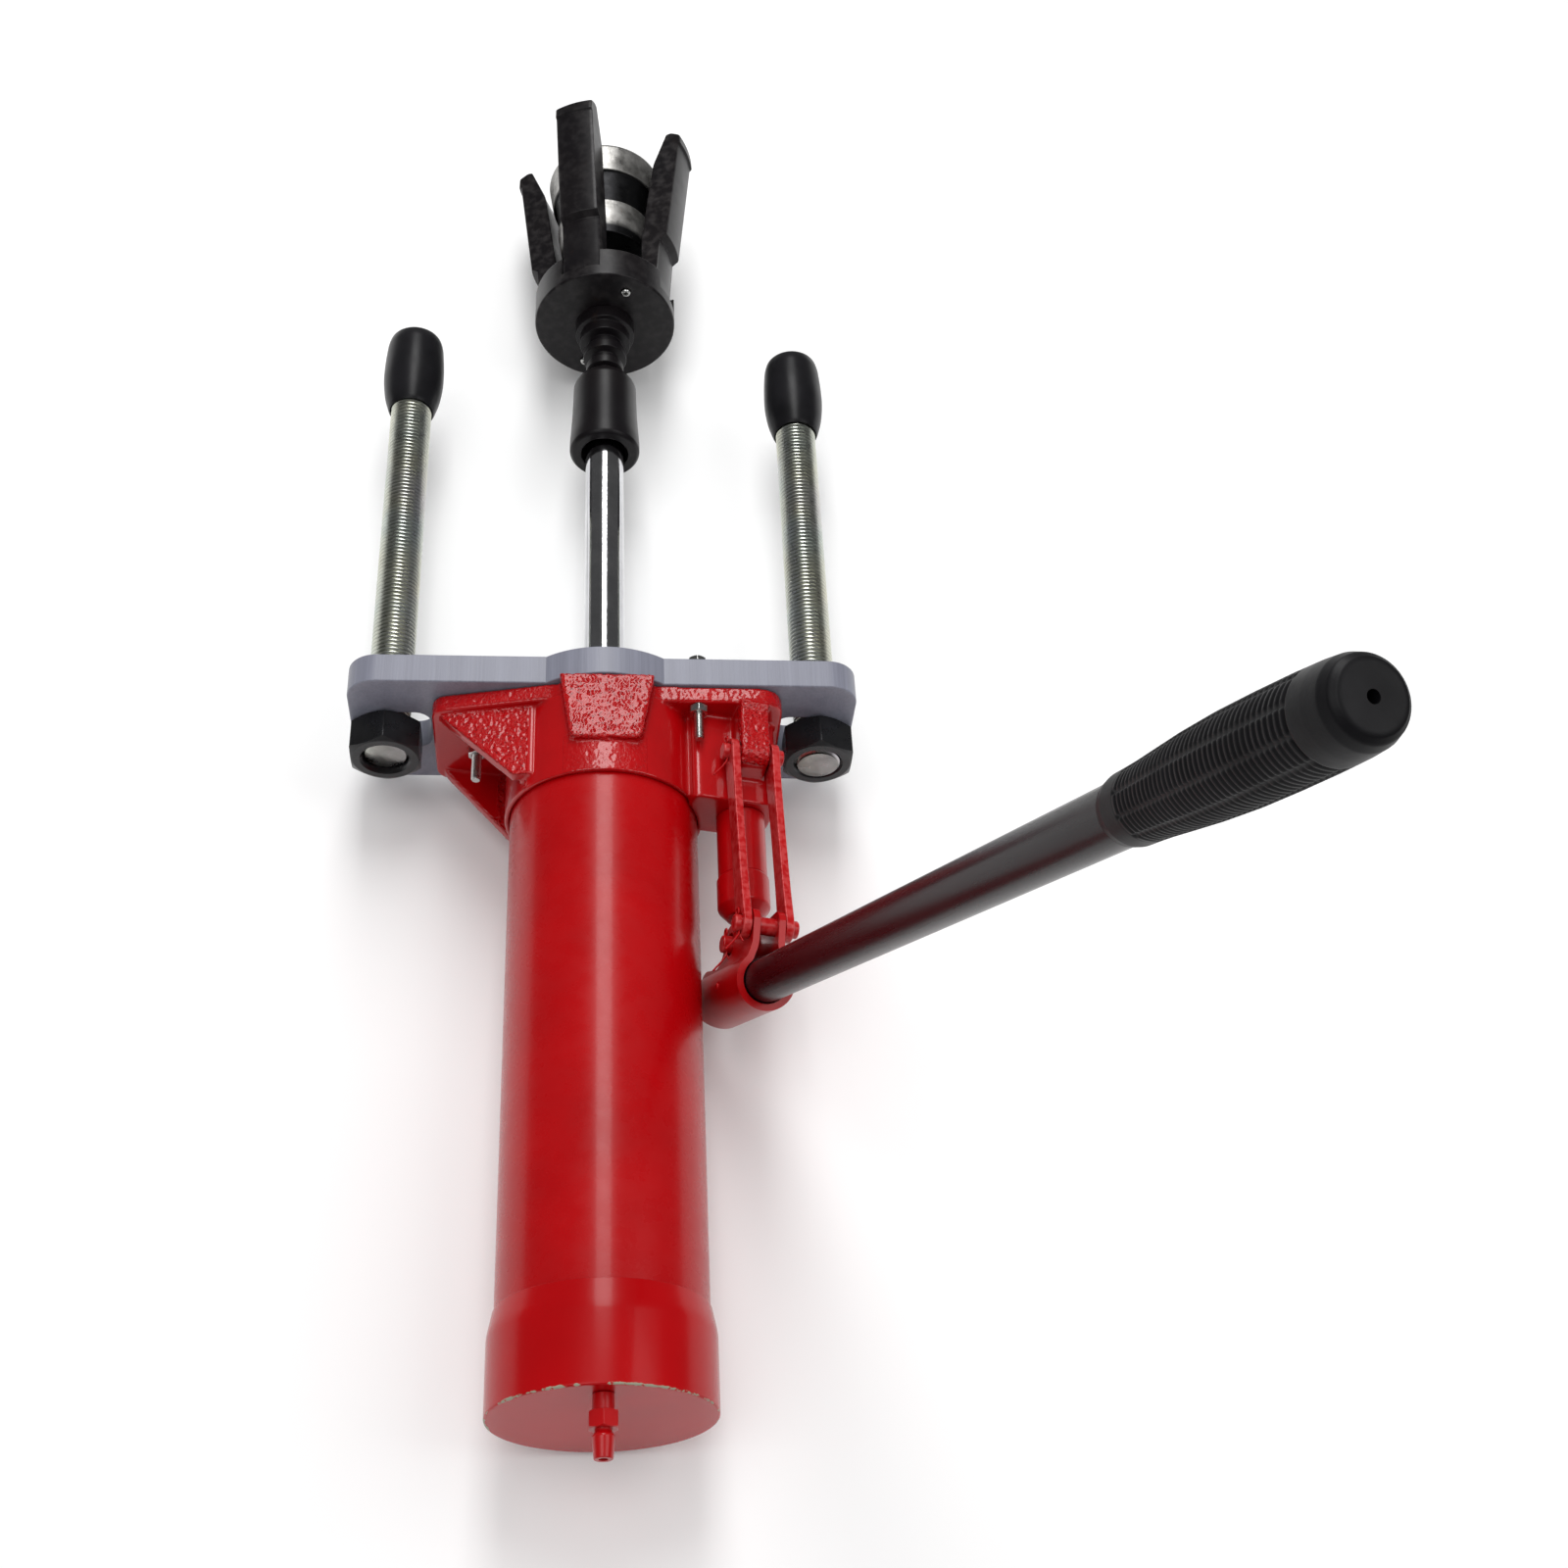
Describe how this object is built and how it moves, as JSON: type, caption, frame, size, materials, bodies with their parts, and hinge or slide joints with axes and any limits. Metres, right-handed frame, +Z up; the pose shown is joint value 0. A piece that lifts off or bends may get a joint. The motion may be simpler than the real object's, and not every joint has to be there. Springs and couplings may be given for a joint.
{
  "type": "hydraulic liner puller",
  "caption": "Hand-pumped hydraulic puller: ram on a slotted crossbar with screw legs, pulling an internal jaw claw spread by a cone.",
  "frame": {"origin": "under the middle of the whole tool's box, on the floor it lies on", "axes": "+X along the crossbar towards the pump side, +Y along the ram towards the claw, +Z up out of the front of the tool"},
  "size_m": [0.3752, 0.9706, 0.635],
  "materials": {
    "red_paint": "gloss",
    "red_cast": "gloss over rough casting",
    "grey_paint": "satin",
    "black_steel": "black oxide",
    "grey_steel": "worn",
    "bright_steel": "zinc plated",
    "bare_steel": "turned",
    "chrome": "polished",
    "zinc_plate": "yellow passivated, threaded",
    "black_paint": "gloss",
    "black_rubber": "semi-gloss"
  },
  "bodies": {
    "frame": {"crossbar": "grey_paint", "body_casting": "red_cast", "reservoir_tube": "red_paint", "end_cap": "red_paint", "bleed_valve": "red_paint", "inner_cylinder": "bare_steel", "rod_gland": "bare_steel", "flange_bolt_1": "bright_steel", "flange_bolt_2": "bright_steel", "flange_bolt_3": "bright_steel", "flange_nut_1": "bright_steel", "flange_nut_2": "bright_steel", "flange_nut_3": "bright_steel", "pump_barrel": "red_cast", "pump_gland": "red_cast", "plunger_seal": "black_rubber", "fulcrum_pin": "red_cast", "fulcrum_split_pin": "red_cast"},
    "leg_slider_left": {"leg_nut_left": "black_steel"},
    "leg_left": {"leg_stud_left": "zinc_plate", "leg_cap_left": "black_rubber"},
    "leg_slider_right": {"leg_nut_right": "black_steel"},
    "leg_right": {"leg_stud_right": "zinc_plate", "leg_cap_right": "black_rubber"},
    "ram": {"piston_rod": "chrome", "ram_piston": "bare_steel", "piston_seal": "black_rubber", "piston_nut": "bare_steel", "rod_coupling": "black_steel"},
    "claw": {"claw_stem": "black_steel", "claw_cup": "black_steel", "claw_screw_1": "bright_steel", "claw_screw_2": "bright_steel", "jaw_pin_1": "bare_steel", "jaw_pin_2": "bare_steel", "jaw_pin_3": "bare_steel", "jaw_pin_4": "bare_steel"},
    "cone": {"expander_cone": "grey_steel", "cone_screw": "bare_steel"},
    "jaw_a": {"jaw_1": "black_steel"},
    "jaw_b": {"jaw_2": "black_steel"},
    "jaw_c": {"jaw_3": "black_steel"},
    "jaw_d": {"jaw_4": "black_steel"},
    "links": {"pump_link_left": "red_cast", "pump_link_right": "red_cast", "link_pin": "red_cast", "link_split_pin": "red_cast"},
    "handle": {"handle_socket": "red_cast", "handle_set_screw": "red_cast", "handle_tube": "black_paint", "handle_grip": "black_rubber"},
    "plunger": {"pump_plunger": "bare_steel", "plunger_pin": "red_cast", "plunger_split_pin": "red_cast"},
    "release_valve": {"release_valve": "bare_steel"}
  },
  "joints": [
    {"name": "leg_slide_left", "type": "slide", "parent": "frame", "child": "leg_slider_left", "axis": [1, 0, 0], "range_m": [-0.001, 0.007]},
    {"name": "leg_slide_right", "type": "slide", "parent": "frame", "child": "leg_slider_right", "axis": [1, 0, 0], "range_m": [-0.0035, 0.001]},
    {"name": "leg_screw_left", "type": "slide", "parent": "leg_slider_left", "child": "leg_left", "axis": [0, 1, 0], "range_m": [-0.15, 0.01]},
    {"name": "leg_screw_right", "type": "slide", "parent": "leg_slider_right", "child": "leg_right", "axis": [0, 1, 0], "range_m": [-0.14, 0.014]},
    {"name": "ram_stroke", "type": "slide", "parent": "frame", "child": "ram", "axis": [0, 1, 0], "range_m": [-0.19, 0.035]},
    {"name": "claw_turn", "type": "hinge", "parent": "ram", "child": "claw", "pos_m": [-0.03562, 0.2827, 0.06625], "axis": [0, 1, 0], "range_deg": [-180, 180]},
    {"name": "cone_travel", "type": "slide", "parent": "claw", "child": "cone", "axis": [0, 1, 0], "range_m": [-0.02, 0.01]},
    {"name": "jaw_swing_1", "type": "hinge", "parent": "claw", "child": "jaw_a", "pos_m": [-0.05005, 0.3327, 0.10195], "axis": [0.9272, 0, 0.3746], "range_deg": [-3, 3]},
    {"name": "jaw_swing_2", "type": "hinge", "parent": "claw", "child": "jaw_b", "pos_m": [-0.07132, 0.3327, 0.05183], "axis": [-0.3746, 0, 0.9272], "range_deg": [-3, 3]},
    {"name": "jaw_swing_3", "type": "hinge", "parent": "claw", "child": "jaw_c", "pos_m": [-0.0212, 0.3327, 0.03056], "axis": [-0.9272, 0, -0.3746], "range_deg": [-3, 3]},
    {"name": "jaw_swing_4", "type": "hinge", "parent": "claw", "child": "jaw_d", "pos_m": [0.00007, 0.3327, 0.08067], "axis": [0.3746, 0, -0.9272], "range_deg": [-3, 3]},
    {"name": "link_swing", "type": "hinge", "parent": "frame", "child": "links", "pos_m": [0.05084, -0.0793, 0.10494], "axis": [0.9736, 0, -0.2284], "range_deg": [-2, 2]},
    {"name": "handle_pump", "type": "hinge", "parent": "links", "child": "handle", "pos_m": [0.05278, -0.1998, 0.11321], "axis": [0.9736, 0, -0.2284], "range_deg": [-24, 8]},
    {"name": "plunger_stroke", "type": "slide", "parent": "frame", "child": "plunger", "axis": [0, 1, 0], "range_m": [-0.02, 0.01]},
    {"name": "release_turn", "type": "hinge", "parent": "frame", "child": "release_valve", "pos_m": [0.03782, -0.0793, 0.04945], "axis": [0.2284, 0, 0.9736], "range_deg": [-90, 0]}
  ],
  "couplings": [
    {"joint": "link_swing", "follows": "handle_pump", "ratio": -0.02},
    {"joint": "plunger_stroke", "follows": "handle_pump", "m_per_rad": 0.036},
    {"joint": "jaw_swing_1", "follows": "cone_travel", "rad_per_m": -1.4},
    {"joint": "jaw_swing_2", "follows": "cone_travel", "rad_per_m": -1.4},
    {"joint": "jaw_swing_3", "follows": "cone_travel", "rad_per_m": -1.4},
    {"joint": "jaw_swing_4", "follows": "cone_travel", "rad_per_m": -1.4}
  ]
}
